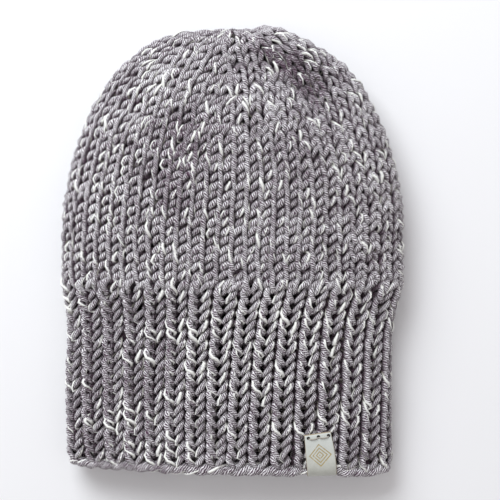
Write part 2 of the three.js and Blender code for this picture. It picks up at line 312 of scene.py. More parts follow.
# Noises of the materials: scale, detail and roughness
NOISE_COLUMNS = ("Scale", "Detail", "Roughness")
NOISES = {
    "ply": (260, 3, 0.5),
    "wool fibre": (1.0, 3, 0.6),
    "wool patch": (1050, 2, 0.8),
    "wool uneven": (120, 1, 0.5),
    "strand fibre": (1.0, 3, 0.6),
    "grain": (900, 4, 0.6),
    "cloud": (120, 2, 0.5),
    "wear": (500, 3, 0.7),
}

# Ranges that a value is stretched over, from low to high, and what they turn into
RANGES = {
    "front clears": (0.2, 0.86, 0, 1),
    "back clears": (0.6, 1.0, 0, 1),
    "painted light at top": (3.0, 20.0, 0.35, 0.0),
    "print line": (0.30, 0.62, 1, 0),
    "print reach": (PRINT["reach"] - 0.2, PRINT["reach"], 1, 0),
    "print wear": (0.30, 0.52, 0.35, 1.0),
    "skin edge": (0.80, 0.97, 1, 0),
    "top edge": (0.25, 0.7, 1, 0),
    "raw grain": (0.25, 0.6, 0.5, 1.0),
    "hole": (0.85, 1.2, 0, 1),
}

# Finish of the materials: roughness, sheen and specular level
FINISH_COLUMNS = ("Roughness", "Sheen Weight", "Specular IOR Level")
FINISHES = {
    "marl_wool": (0.92, 0.35, 0.15),
    "strand_wool": (0.85, 0.3, 0.2),
    "thread": (0.6, 0.0, 0.3),
    "pale_leather": (0.55, 0.0, 0.4),
    "floor_white": (0.9, 0.0, 0.3),
}

# Wool: plies round the yarn, their pitch and wobble, how fibres run, and the parts of its tone and relief
PLIES = 5
PLY_PITCH = 1.2
PLY_WOBBLE = 2.2
FIBRE_RUN = {"lay": 2.6, "around": 0.7, "along": 0.35}
# The ridge part makes the wool paler on the plies and darker in their grooves: painted shade in the grooves
TONE_PARTS = {"fibre": 0.6, "patch": 0.66, "shift": 0.13, "ridge": 0.48, "uneven": 0.3, "painted_light_shade_and_dye": 0.22}
RIDGE_MIDDLE = 0.63
UNEVEN_MIDDLE = 0.5
WOOL_RELIEF = {"ridge": 0.8, "fibre": 0.45, "depth": 0.95}
WOOL_SHADES = (
    (0.34, (0.072, 0.026, 0.056)),
    (0.45, (0.245, 0.193, 0.238)),
    (0.55, (0.465, 0.427, 0.461)),
    (0.70, (0.95, 0.935, 0.96)),
)
# Painted shade for fibres deep in the wall, and how the painted shade half way out follows from it
DEEP_PAINTED_SHADE = (0.125, 0.055, 0.10)
STRAND_DEEP_PAINTED_SHADE = (0.22, 0.20, 0.18)
HALF_LIT = {"level": 0.42, "share": 0.5}

# Strand and thread: how their fibres or plies run, depth of the relief, and shades; the thread's shades are
# painted shade in its ply grooves
STRAND_RUN = {"along": 0.5, "around": 5.0}
STRAND_RELIEF = 0.3
STRAND_SHADES = (
    (0.22, (0.60, 0.59, 0.54)),
    (0.45, (0.88, 0.88, 0.84)),
    (0.7, (0.95, 0.96, 0.95)),
)
THREAD_RUN = {"along": -1.2, "around": 2.0}
THREAD_RELIEF = 0.15
THREAD_SHADES = (
    (0.0, (0.16, 0.14, 0.12)),
    (0.6, (0.50, 0.47, 0.42)),
)

# Leather: parts of its tone and relief, and colours, among them a painted light that makes the label paler
# near its top
LEATHER_TONE = {"grain": 0.35, "cloud": 0.65}
LEATHER_RELIEF = {"grain": 0.25, "hole": 1.2, "print": 0.3, "depth": 0.35}
LEATHER_SHADES = (
    (0.3, (0.44, 0.445, 0.40)),
    (0.7, (0.58, 0.59, 0.54)),
)
LEATHER_PAINTED_LIGHT = (0.74, 0.80, 0.80)
LEATHER_RAW = (0.33, 0.25, 0.15)
GOLD = (0.40, 0.31, 0.14)
# Painted shade for the pricked holes
HOLE_PAINTED_SHADE = (0.01, 0.008, 0.006)
FAR_FROM_HOLES = 2.0

# Stage, in metres, and the camera, straight above a square frame of pixels, whose size is in millimetres
FLOOR_HALF = 2
FLOOR_COLOUR = (0.868, 0.868, 0.882)
SKY_COLOUR = (1.0, 0.968, 0.972)
SKY_STRENGTH = 0.55
KEY_LIGHT = {
    "position": (-0.55, 1.09, 0.98),
    "target": (0, 0, 0.02),
    "size": 1.05,
    "power": 26.5,
    "colour": (0.93, 0.97, 1.0),
}
FRAME_SIZE = 500
PIXEL = 0.649
ORIGIN_PIXEL = (232.5, 251.5)
CAMERA = {"above": 0.75, "level": 0.017, "sensor": 36, "clip": 0.01}


# The beanie's surface

def between(a, b, c, d, t):
    """A smooth curve from b to c, where a comes before them and d after."""
    pull = 0.5 * (c - a)
    push = 0.5 * (d - b)
    return b + t * (pull + t * ((3 * (c - b) - 2 * pull - push) + t * (2 * (b - c) + pull + push)))


def column(name, v):
    """A smooth curve through one column of the table of sections, at v."""
    data = TABLE[:, SECTION_COLUMNS.index(name)]
    last = len(data) - 1
    i = np.clip(np.floor(v).astype(int), 0, last - 1)
    b = data[i]
    c = data[i + 1]
    a = np.where(i > 0, data[np.maximum(i - 1, 0)], 2 * b - c)
    d = np.where(i + 2 <= last, data[np.minimum(i + 2, last)], 2 * c - b)
    return between(a, b, c, d, v - i)


def slope(name, v, step=0.01):
    return column(name, np.minimum(v + step, TIP)) - column(name, np.maximum(v - step, 0))


def rise_at(across, square):
    """Height of a squared-off half circle at a share of its half width."""
    return np.maximum(1 - np.minimum(np.abs(across), 1) ** square, 0) ** (1 / square)


def squareness(full, v):
    return ROUND + (full - ROUND) * np.clip((TIP - v) / SECTIONS_TO_ROUND_TIP, 0, 1)


def sum_of_spots(rows, columns, x, y):
    """Soft oval spots added up at x and y: the last column of each row is its height."""
    total = np.zeros_like(x)
    for row in rows:
        spot = dict(zip(columns, row))
        turn = math.radians(spot["turn"])
        dx = x - spot["x"]
        dy = y - spot["y"]
        along = (dx * math.cos(turn) + dy * math.sin(turn)) / spot["long"]
        across = (dy * math.cos(turn) - dx * math.sin(turn)) / spot["short"]
        total += row[-1] * np.exp(-(along ** 2 + across ** 2))
    return total


def section(v, inset):
    """Sizes of the section at v, moved inward by inset across the knit."""
    at = {name: column(name, v) for name in SECTION_COLUMNS}
    to = {name: slope(name, v) for name in SECTION_COLUMNS}
    side_length = np.hypot(to["y_side"], to["half"])
    top_length = np.hypot(to["y_mid"], to["high"])
    low_length = np.hypot(to["y_mid"], to["low"])
    return {
        "axis": at["axis"],
        "half": np.maximum(at["half"] - inset * to["y_side"] / side_length, 0),
        "y_side": at["y_side"] + inset * to["half"] / side_length,
        "y_top": at["y_mid"] + inset * to["high"] / top_length,
        "y_low": at["y_mid"] - inset * to["low"] / low_length,
        "high": at["high"] - inset * to["y_mid"] / top_length,
        "low": at["low"] + inset * to["y_mid"] / low_length,
        "side": at["low"] + (at["high"] - at["low"]) * SIDE_HEIGHT_SHARE,
        "floor": np.where(at["low"] < 0, inset, 0),
    }


def pulled(x, y, v, is_top):
    """The y of a section's points, after the pulls at the label, the hem's corner and the tip."""
    pull = HEM_PULL["depth"] * np.maximum(1 - v, 0)
    y = y + np.where(is_top, pull * np.exp(-((x - HEM_PULL["x"]) / HEM_PULL["spread"]) ** 2), 0)
    y = y + HEM_TILT["rise"] * (HEM_TILT["x"] - x) * np.maximum(1 - v / HEM_TILT["sections"], 0)
    push = TIP_PUSH["height"] * np.clip(v - TIP_PUSH["from"], 0, 1)
    return y + push * np.exp(-((x - TIP_PUSH["x"]) / TIP_PUSH["spread"]) ** 2)


def section_point(angle, v, inset):
    """Points of the sections at v, moved inward. A quarter turn is the front, zero is the right fold."""
    part = section(v, inset)
    is_top = np.sin(angle) >= 0
    across = np.cos(angle)
    square = np.where(is_top, squareness(TOP_SQUARENESS, v), squareness(LOW_SQUARENESS, v))
    rise = rise_at(across, square)
    bend = np.where(v < 1, HEM_CORNER_BEND, COURSE_BEND)
    x = part["axis"] + part["half"] * across
    y_face = np.where(is_top, part["y_top"], part["y_low"])
    y = pulled(x, y_face + (part["y_side"] - y_face) * np.abs(across) ** bend, v, is_top)
    dent = sum_of_spots(DENTS, DENT_COLUMNS, x, y)
    z_top = part["side"] + (part["high"] - part["side"]) * rise - dent * rise
    z_low = np.maximum(part["side"] - (part["side"] - part["low"]) * rise, part["floor"])
    return np.stack([x, y, np.where(is_top, z_top, z_low)], axis=-1)


def ring_angles(v, count=720, places=513):
    """Angles that share out the ring at v evenly, from the front's middle to the right and round."""
    angle = math.pi / 2 - TURN * np.arange(count + 1) / count
    points = section_point(angle, np.full(count + 1, v), np.zeros(count + 1))
    length = np.concatenate([[0], np.cumsum(np.linalg.norm(np.diff(points, axis=0), axis=1))])
    return np.interp(np.linspace(0, length[-1], places), length, angle), length[-1]


ROWS = np.linspace(0, LAST_PLACE, TIP * ROWS_PER_SECTION + 1)
RINGS = [ring_angles(v) for v in ROWS]
ANGLES = np.array([ring[0] for ring in RINGS])
PERIMETERS = np.array([ring[1] for ring in RINGS])


def surface(share, v, inset):
    """The point at a share of the way round, at section v, at a depth under the outer face."""
    v = np.clip(v, 0, LAST_PLACE)
    row = v / ROWS[-1] * (len(ROWS) - 1)
    spot = np.mod(share, 1.0) * (ANGLES.shape[1] - 1)
    i = np.clip(row.astype(int), 0, len(ROWS) - 2)
    k = np.clip(spot.astype(int), 0, ANGLES.shape[1] - 2)
    low = blend(ANGLES[i, k], ANGLES[i, k + 1], spot - k)
    high = blend(ANGLES[i + 1, k], ANGLES[i + 1, k + 1], spot - k)
    return section_point(blend(low, high, row - i), v, inset)


def blend(a, b, share):
    return a + (b - a) * share


def smooth(t):
    return t * t * (3 - 2 * t)


def course_places(steps=1200):
    """Sections at which the courses lie, from the hem to the tip: even in the rib, growing up the crown."""
    v = np.linspace(0, TIP, steps + 1)
    mid = np.hypot(np.diff(column("y_mid", v)), np.diff(column("high", v)))
    side = np.hypot(np.diff(column("y_side", v)), np.diff(column("half", v)))
    length = np.concatenate([[0], np.cumsum(SHARE_OF_MIDDLE * mid + (1 - SHARE_OF_MIDDLE) * side)])
    rib_end = np.interp(RIB_TOP, v, length)
    rib = np.linspace(0, rib_end, RIB_COURSES + 1)
    k = np.linspace(0, 1, CROWN_COURSES + 1)[1:]
    crown = rib_end + (length[-1] - rib_end) * (k * (1 - CROWN_GROWTH) + CROWN_GROWTH * k ** 3)
    return np.interp(np.concatenate([rib, crown]), length, v)


COURSES = course_places()
FIRST_COURSE = np.diff(column("y_mid", COURSES[:2]))


def drift(share, v):
    """Sideways drift at a place, as a share of the way round."""
    table = np.array(DRIFTS)
    total = np.zeros_like(share)
    for i, at in enumerate(DRIFT_SECTIONS):
        before = DRIFT_SECTIONS[i - 1] if i > 0 else at - 1
        after = DRIFT_SECTIONS[i + 1] if i + 1 < len(DRIFT_SECTIONS) else at + 1
        weight = np.clip(np.minimum((v - before) / (at - before), (after - v) / (after - at)), 0, 1)
        total += weight * np.interp(share, table[:, 0], table[:, 1 + i], period=1.0)
    return total / MIDDLE_ROUND


def wall_at(g):
    """Thickness of the knit: the ribs are thicker than the crown."""
    change = (g - RIB_COURSES + WALL_CHANGE["before"]) / WALL_CHANGE["courses"]
    return blend(RIB_WALL, CROWN_WALL, np.clip(change, 0, 1))


def place(share, g, out):
    """A point of the knit: round, up in courses, and out from the wall's middle. It runs on below the hem."""
    v = np.interp(g, np.arange(len(COURSES)), COURSES)
    point = surface(share + drift(share, v), v, wall_at(g) / 2 - out)
    point[..., 1] += np.minimum(g, 0) * FIRST_COURSE
    return loosened(point)


def loosened(point):
    """Points near a loose place of the upper layer, drawn away from its middle."""
    for row in LOOSE_PLACES:
        spot = dict(zip(LOOSE_COLUMNS, row))
        away = point[..., :2] - (spot["x"], spot["y"])
        distance = np.linalg.norm(away, axis=-1, keepdims=True)
        push = spot["gape"] * np.exp(-(distance / spot["reach"]) ** 2) * (point[..., 2:] > UPPER_ABOVE)
        point[..., :2] += away / (distance + LOOSE_CORE) * push
    return point


# Meshes

def unit(vectors):
    return vectors / np.linalg.norm(vectors, axis=1, keepdims=True)


def tube_frames(points, out_points):
    """Side and outward directions along a closed path."""
    tangent = unit(np.roll(points, -1, axis=0) - np.roll(points, 1, axis=0))
    side = unit(np.cross(tangent, out_points - points))
    return side, np.cross(side, tangent)


def tube(points, side, out, radii, sides, closed):
    """Vertices, quads and yarn coordinates of a tube along a path."""
    count = len(points)
    spans = count if closed else count - 1
    angle = TURN * np.arange(sides) / sides
    ring = np.cos(angle)[None, :, None] * side[:, None, :] + np.sin(angle)[None, :, None] * out[:, None, :]
    vertices = points[:, None, :] + ring * radii[:, None, None]
    i = np.arange(spans)[:, None]
    k = np.arange(sides)[None, :]
    i2 = (i + 1) % count
    k2 = (k + 1) % sides
    quads = np.stack([i * sides + k, i2 * sides + k, i2 * sides + k2, i * sides + k2], axis=-1)
    step = np.linalg.norm(np.roll(points, -1, axis=0) - points, axis=1)[:spans]
    along = np.concatenate([[0], np.cumsum(step)])
    u = np.stack([along[:-1], along[1:], along[1:], along[:-1]], axis=-1)[:, None, :] * np.ones((1, sides, 1))
    w = np.stack([k, k, k + 1, k + 1], axis=-1) / sides * np.ones((spans, 1, 1))
    return vertices.reshape(-1, 3), quads.reshape(-1, 4), np.stack([u, w], axis=-1).reshape(-1, 2)


def closed_tube(points, side, out, radii, sides, depths):
    """A tube round a closed path, with the place of each corner in the wall."""
    vertices, quads, yarn = tube(points, side, out, radii, sides, True)
    angle = TURN * np.arange(sides) / sides
    deep = (depths[:, None] + np.sin(angle)[None, :] * radii[:, None]).reshape(-1)
    return vertices, quads, yarn, deep[quads].reshape(-1)


def open_tube(points, radius, sides):
    """A tube along an open path, all of it in full light."""
    tangent = unit(np.gradient(points, axis=0))
    side = unit(np.cross(tangent, np.array([0.0, 0.0, 1.0])))
    out = np.cross(side, tangent)
    vertices, quads, yarn = tube(points, side, out, np.full(len(points), radius), sides, False)
    return vertices, quads, yarn, np.ones(quads.size)


class Mesher:
    """Gathers tubes into one mesh, with maps of the yarn, of its depth and of the spots of painted shade and
    painted light (partly darker or paler wool), and for baking.
    """

    def __init__(self):
        self.vertices = []
        self.quads = []
        self.yarn = []
        self.deep = []
        self.blocks = []
        self.count = 0

    def add(self, vertices, quads, yarn, deep, steps, sides):
        self.vertices.append(vertices)
        self.quads.append(quads + self.count)
        self.yarn.append(yarn)
        self.deep.append(deep)
        self.blocks.append((len(quads) // sides, steps, sides))
        self.count += len(vertices)

    def bake_map(self):
        """Each stitch's strip of yarn in a cell of its own, so that no two lie on each other."""
        cells = sum(math.ceil(length / steps) for length, steps, _ in self.blocks)
        columns = max(1, round(math.sqrt(cells * BAKE_GRID)))
        rows = math.ceil(cells / columns)
        maps = []
        first = 0
        for length, steps, sides in self.blocks:
            i = np.repeat(np.arange(length), sides)
            k = np.tile(np.arange(sides), length)
            cell = first + i // steps
            local = i % steps
            u = np.stack([local, local + 1, local + 1, local], axis=-1) / steps
            w = np.stack([k, k, k + 1, k + 1], axis=-1) / sides
            u = (cell % columns)[:, None] + within_margin(u, BAKE_MARGIN["along"])
            w = (cell // columns)[:, None] + within_margin(w, BAKE_MARGIN["around"])
            maps.append(np.stack([u / columns, w / rows], axis=-1).reshape(-1, 2))
            first += math.ceil(length / steps)
        return np.concatenate(maps)

    def build(self, name, material):
        mesh = bpy.data.meshes.new(name)
        points = np.concatenate(self.vertices)
        quads = np.concatenate(self.quads)
        vertices = points * MM
        vertices[:, 2] = np.maximum(vertices[:, 2], FLOOR_GAP * MM)
        mesh.vertices.add(len(vertices))
        mesh.vertices.foreach_set("co", vertices.astype(np.float32).ravel())
        mesh.loops.add(quads.size)
        mesh.loops.foreach_set("vertex_index", quads.astype(np.int32).ravel())
        mesh.polygons.add(len(quads))
        mesh.polygons.foreach_set("loop_start", np.arange(0, quads.size, 4, dtype=np.int32))
        mesh.polygons.foreach_set("use_smooth", np.ones(len(quads), bool))
        mesh.update(calc_edges=True)
        corner = points[quads.ravel()]
        # Spots of painted shade and painted light, partly darker or paler wool, kept beside the depth in the
        # map deep
        painted_light_shade_and_dye = sum_of_spots(PAINTED_LIGHT_SHADE_AND_DYE_SPOTS, PAINTED_SPOT_COLUMNS, corner[:, 0], corner[:, 1])
        add_map(mesh, "OFBake", self.bake_map())
        add_map(mesh, "yarn", np.concatenate(self.yarn))
        add_map(mesh, "deep", np.stack([np.concatenate(self.deep), painted_light_shade_and_dye], axis=-1))
        mesh.validate()
        return finish_piece(name, mesh, material)


def within_margin(share, margin):
    return margin + (1 - 2 * margin) * share


def add_map(mesh, name, data):
    mesh.uv_layers.new(name=name).data.foreach_set("uv", np.array(data, np.float32).ravel())


def add_object(name, data):
    item = bpy.data.objects.new(name, data)
    bpy.context.scene.collection.objects.link(item)
    return item


def finish_piece(name, mesh, material):
    piece = add_object(name, mesh)
    mesh.materials.append(material)
    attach(piece, BODY)
    return piece


# Stitches

def stitch_steps(count):
    """Along a round: the place in stitches, the stitch's number, and the angle along its loop."""
    t = np.arange(count * STEPS_PER_STITCH) / STEPS_PER_STITCH
    stitch = t.astype(int)
    return t, stitch, TURN * (t - stitch)


def jitter(count, size):
    """Smooth noise along a course, with one random value a stitch."""
    values = RNG.normal(0, size, count)
    t, stitch, _ = stitch_steps(count)
    return blend(values[stitch], values[(stitch + 1) % count], smooth(t - stitch))


def evenness(point):
    """1 at the right side and the upper right, where both legs of a stitch show alike, and 0 elsewhere."""
    x = point[:, 0]
    y = point[:, 1]
    right = (x - EVEN_RIGHT["x"]) / EVEN_RIGHT["over"]
    upper_x = (x - EVEN_UPPER["x"]) / EVEN_UPPER["over_x"]
    upper_y = (y - EVEN_UPPER["y"]) / EVEN_UPPER["over_y"]
    return np.clip(np.maximum(right, np.minimum(upper_x, upper_y)), 0, 1)


def loop_value(loop, name, tau):
    """A smooth periodic curve through one column of a loop's table, at an angle along the loop."""
    data = np.array(loop)[:, LOOP_COLUMNS.index(name)]
    count = len(data)
    spot = tau / TURN * count
    i = np.floor(spot).astype(int)
    a, b, c, d = (data[(i + k) % count] for k in (-1, 0, 1, 2))
    return between(a, b, c, d, spot - i)


def crown_value(name, tau, even, ribbed):
    """One column of a crown loop, turned into an even or a rib loop by these shares."""
    plain = blend(loop_value(CROWN_LOOP, name, tau), loop_value(EVEN_LOOP, name, tau), even)
    return blend(plain, loop_value(RIB_LOOP, name, tau), ribbed)


def crown_course(course):
    """One round of knit stitches. In the first, every other stitch leaves the ribs as a rib stitch does."""
    count, heads = CROWN_PLAN[course]
    offset = RIB_OFFSET if count == RIB_STITCHES else 0
    t, stitch, tau = stitch_steps(count)
    middle = RIB_COURSES + course + 0.5
    middle_share = (stitch + 0.5 + offset) / count
    even = evenness(place(middle_share, middle + 0 * t, 0 * t))
    climb = 0.5 * (1 - np.cos(tau))
    is_first = course == 0
    ribbed = (stitch % 2 == 0) * (1 - climb) * is_first
    side, up, out, radius = (crown_value(name, tau, even, ribbed) for name in LOOP_COLUMNS)
    side += jitter(count, CROWN_JITTER["across"])
    share = (t + offset + side) / count + (heads[stitch] - middle_share) * smooth(climb)
    g = middle + up + jitter(count, CROWN_JITTER["up"])
    out += jitter(count, CROWN_JITTER["out"])
    if is_first:
        behind = (stitch % 2 == 1) * (1 - climb) ** 2
        out += FIRST_ROUND["out"] - FIRST_ROUND["behind"] * behind
    return share, g, out, radius * (1 + jitter(count, CROWN_JITTER["radius"]))


def rib_course(course):
    """One round of knit and purl by turns: knit loops stand in front, purl loops behind."""
    count = RIB_STITCHES
    t, stitch, tau = stitch_steps(count)
    side, up, out, radius = (
        np.where(stitch % 2 == 0, loop_value(RIB_LOOP, name, tau), loop_value(PURL_LOOP, name, tau))
        for name in LOOP_COLUMNS)
    side += jitter(count, RIB_JITTER["across"])
    out += jitter(count, RIB_JITTER["out"])
    g = course + 0.5 + up + jitter(count, RIB_JITTER["up"])
    share = (t + RIB_OFFSET + side) / count
    return share, g, out, radius * (1 + jitter(count, RIB_JITTER["radius"]))


def crown_counts():
    """Stitches of each course of the crown, and of one more to end on."""
    counts = [RIB_STITCHES]
    for course in range(CROWN_COURSES):
        now = counts[-1]
        perimeter = np.interp(COURSES[RIB_COURSES + course + 1], ROWS, PERIMETERS)
        narrows = now > SECTORS and (perimeter / now < NARROW_BELOW or course == 0)
        counts.append(now - SECTORS if narrows else now)
    return counts


def crown_plan():
    """For each course of the crown: its stitch count and the share round at which each head is caught."""
    counts = crown_counts()
    plan = []
    for here, above in zip(counts, counts[1:]):
        caught = np.arange(here)
        if above < here:
            size = here // SECTORS
            sector, within = np.divmod(caught, size)
            caught = sector * (size - 1) + np.minimum(within, size - 2)
        plan.append((here, (caught + 0.5) / above))
    return plan


CROWN_PLAN = crown_plan()


# Yarn and strand

def strand_path(points, side, out, radii, size):
    """A thin strand wound round the yarn, sinking into it and rising out of it by turns."""
    stitches = len(points) // STEPS_PER_STITCH
    step = np.linalg.norm(np.roll(points, -1, axis=0) - points, axis=1)
    along = np.concatenate([[0], np.cumsum(step)[:-1]])
    total = step.sum()
    turns = max(1, round(total / size["pitch"]))
    wander = jitter(stitches, STRAND_JITTER["turn"])
    angle = RNG.uniform(0, TURN) + TURN * turns * along / total + wander
    depth = radii * size["depth"] + jitter(stitches, STRAND_JITTER["rise"]) - STRAND_SUNK
    depth += sum_of_spots(STRAND_PLACES, STRAND_COLUMNS, points[:, 0], points[:, 1])
    around = np.cos(angle)[:, None] * side + np.sin(angle)[:, None] * out
    return points + around * depth[:, None], around, np.sin(angle) * depth


def add_yarn(yarn, strand, points, outward, radius, depths, half_wall, size, lay=1):
    """A closed length of yarn with its strand. depths are its places in the wall, lay how its plies run."""
    side, normal = tube_frames(points, outward)
    vertices, quads, ply_map, deep = closed_tube(points, side, normal, radius, TUBE_SIDES, depths)
    yarn.add(vertices, quads, ply_map * lay, deep / half_wall, STEPS_PER_STITCH, TUBE_SIDES)
    path, around, lift = strand_path(points, side, normal, radius, size)
    side, normal = tube_frames(path, path + around)
    stitches = len(points) // STEPS_PER_STITCH
    height = size["height"] / 2 * (1 + jitter(stitches, STRAND_JITTER["height"]))
    flat = side * (size["width"] / size["height"])
    vertices, quads, ply_map, deep = closed_tube(path, flat, normal, height, STRAND_SIDES, depths + lift)
    strand.add(vertices, quads, ply_map, deep / half_wall, STEPS_PER_STITCH, STRAND_SIDES)


def add_course(yarn, strand, share, g, out, radius):
    half_wall = float(wall_at(np.array([g.mean()]))[0]) / 2
    size = RIB_STRAND if g.mean() < RIB_COURSES else CROWN_STRAND
    outward = place(share, g, out + OUTWARD)
    add_yarn(yarn, strand, place(share, g, out), outward, radius, out, half_wall, size)


def finish_yarn(yarn, strand, name, index):
    node, slot = YARN_PARTS[name]
    piece = yarn.build(f"{name}_yarn_{index}", YARN)
    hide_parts(node)
    strand.build(f"{name}_strand_{index}", STRAND)


def knit(name, bands, make_course):
    """The pieces of the ribs or of the crown, each a band of courses."""
    for index, (first, last) in enumerate(bands):
        yarn = Mesher()
        strand = Mesher()
        for course in range(first, last):
            add_course(yarn, strand, *make_course(course))
        finish_yarn(yarn, strand, name, index)


def cast_on_edge():
    """Two ends of yarn twisted round each other along the hem, as a cast-on leaves them."""
    yarn = Mesher()
    strand = Mesher()
    t, _, _ = stitch_steps(EDGE_TWISTS)
    share = t / EDGE_TWISTS
    zero = np.zeros_like(t)
    outward = place(share, zero, zero + EDGE_OUTWARD) - place(share, zero, zero)
    for start in EDGE_STARTS:
        turn = TURN * (t + start) + jitter(EDGE_TWISTS, EDGE_JITTER["turn"])
        out = EDGE_SWING["out"] * np.cos(turn) + jitter(EDGE_TWISTS, EDGE_JITTER["out"])
        path = place(share, zero, out)
        path[:, 1] += EDGE_MIDDLE + EDGE_SWING["up"] * np.sin(turn) + jitter(EDGE_TWISTS, EDGE_JITTER["up"])
        radius = EDGE_YARN_RADIUS * (1 + jitter(EDGE_TWISTS, EDGE_JITTER["radius"]))
        depths = zero + OPEN_TO_LIGHT
        add_yarn(yarn, strand, path, path + outward, radius, depths, EDGE_HALF_WALL, EDGE_STRAND, EDGE_LAY)
    finish_yarn(yarn, strand, "edge", 0)


# Leather label

BEND_RADIUS = RIB_WALL / 2
LABEL_LENGTH = LABEL_TOP["y"] - LABEL_FOLD["y"]


def leaf_places():
    """Places along the label, from the outer leaf's top round the hem to the inner leaf's: y and turn."""
    bend_y = LABEL_FOLD["y"] + LABEL_THICK + BEND_RADIUS
    back_top = LABEL_FOLD["y"] + LABEL_LENGTH * LABEL_BACK_SHARE
    front = np.linspace(LABEL_TOP["y"], bend_y, LABEL_STEPS["front"] + 1)
    bend = np.linspace(0, math.pi, LABEL_STEPS["bend"] + 1)[1:-1]
    back = np.linspace(bend_y, back_top, LABEL_STEPS["back"] + 1)
    return [(y, 0.0) for y in front] + [(bend_y, turn) for turn in bend] + [(y, math.pi) for y in back]


def leaf_point(spot, across, lift):
    """A point of the label at one of its places. across runs from -1 to 1, lift from inner to outer skin."""
    y_place, turn = spot
    y = y_place - math.sin(turn) * (BEND_RADIUS + lift)
    share = (y - LABEL_FOLD["y"]) / LABEL_LENGTH
    size = {name: blend(LABEL_FOLD[name], LABEL_TOP[name], share) for name in ("x", "width", "turn")}
    tilt = math.radians(size["turn"])
    bow = LABEL_BOW * math.sin(math.pi * min(max(share, 0), 1)) * max(across, 0)
    shift = across * size["width"] / 2 + bow
    x = size["x"] + shift * math.cos(tilt)
    out_z = hem_face(x, -LABEL_GAP)
    in_z = hem_face(x, RIB_WALL + LABEL_GAP)
    z = (out_z + in_z) / 2 + math.cos(turn) * ((out_z - in_z) / 2 + lift)
    return x, y + shift * math.sin(tilt), z


def hem_face(x, inset):
    """Height of the upper layer at the hem, at a distance across."""
    part = section(np.array([0.0]), np.array([float(inset)]))
    rise = rise_at((x - part["axis"]) / part["half"], TOP_SQUARENESS)
    return float((part["side"] + (part["high"] - part["side"]) * rise)[0])


def leaf_profile():
    """Across and lift round the label's section, with rounded edges."""
    flat = np.linspace(-1 + LABEL_EDGE, 1 - LABEL_EDGE, LABEL_STEPS["across"] + 1)
    outer = [(across, 1.0) for across in flat]
    inner = [(across, 0.0) for across in flat[::-1]]
    right = [(1 - LABEL_EDGE + LABEL_EDGE * math.cos(t), 0.5 + 0.5 * math.sin(t)) for t in LABEL_EDGE_ANGLES]
    left = [(-across, 1 - lift) for across, lift in right]
    return outer + right + inner + left


def leaf_corner(profile, at, y, lift=None):
    """Where a corner lies on the leather: across, along, and its lift, or the given one."""
    across, own_lift = profile[at % len(profile)]
    return across * LABEL_TOP["width"] / 2, y, own_lift if lift is None else lift


def skin_face(profile, along, i, k):
    """A face of the label's skin, and its corners' places on the leather and in the map for baking."""
    count = len(profile)
    corners = ((i, k), (i + 1, k), (i + 1, k + 1), (i, k + 1))
    face = tuple(row * count + at % count for row, at in corners)
    leaf = [leaf_corner(profile, at, along[row]) for row, at in corners]
    start = LABEL_SKIN_MAP["from"]
    flat = [(start + LABEL_SKIN_MAP["around"] * at / count,
             start + LABEL_SKIN_MAP["along"] * along[row] / along[-1]) for row, at in corners]
    return face, leaf, flat


def end_face(profile, along, row):
    """The face that closes the label at its first or last row, and the same for its corners."""
    order = range(len(profile)) if row == 0 else range(len(profile) - 1, -1, -1)
    face = tuple(row * len(profile) + k for k in order)
    leaf = [leaf_corner(profile, k, along[row], LABEL_END_MAP["lift"]) for k in order]
    y = LABEL_END_MAP["y"] + LABEL_END_MAP["apart"] * (row > 0)
    flat = [(LABEL_END_MAP["x"] + LABEL_END_MAP["half"] * profile[k][0],
             y + LABEL_END_MAP["height"] * profile[k][1]) for k in order]
    return face, leaf, flat


def label():
    places = leaf_places()
    profile = leaf_profile()
    rows = [[leaf_point(spot, across, lift * LABEL_THICK) for across, lift in profile] for spot in places]
    middle = [row[LABEL_STEPS["across"] // 2] for row in rows]
    along = [0.0]
    for before, after in zip(middle, middle[1:]):
        along.append(along[-1] + math.dist(before, after))
    parts = [skin_face(profile, along, i, k) for i in range(len(rows) - 1) for k in range(len(profile))]
    parts += [end_face(profile, along, row) for row in (0, len(rows) - 1)]
    faces = [face for face, _, _ in parts]
    leaf = [corner for _, corners, _ in parts for corner in corners]
    mesh = bpy.data.meshes.new("label_leaf")
    mesh.from_pydata([tuple(c * MM for c in point) for row in rows for point in row], [], faces)
    add_map(mesh, "OFBake", [corner for _, _, corners in parts for corner in corners])
    add_map(mesh, "leaf", [(x, y) for x, y, _ in leaf])
    add_map(mesh, "skin", [(lift, 0) for _, _, lift in leaf])
    mesh.polygons.foreach_set("use_smooth", np.ones(len(faces), bool))
    piece = finish_piece("label_leaf", mesh, leather_material())
    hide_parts("label")
    label_thread()


def label_thread():
    """Two running stitches between the holes under the label's top edge."""
    thread = Mesher()
    for start, end in zip(LABEL_HOLES, LABEL_HOLES[1:]):
        points = []
        for share in np.linspace(0, 1, THREAD["steps"] + 1):
            hump = math.sin(math.pi * share)
            across = blend(start[0], end[0], share) / (LABEL_TOP["width"] / 2)
            down = blend(start[1], end[1], share) + THREAD_PLACE["down"] + THREAD_PLACE["sag"] * hump
            rise = THREAD_PLACE["lift"] * min(1.0, THREAD_PLACE["rise"] * hump)
            lift = LABEL_THICK - THREAD_PLACE["sunk"] + rise
            points.append(leaf_point((LABEL_TOP["y"] - down, 0.0), across, lift))
        stitch = open_tube(np.array(points), THREAD["radius"], THREAD["sides"])
        thread.add(*stitch, THREAD["steps"] // 2, THREAD["sides"])
    thread.build("label_thread", thread_material())


# Materials

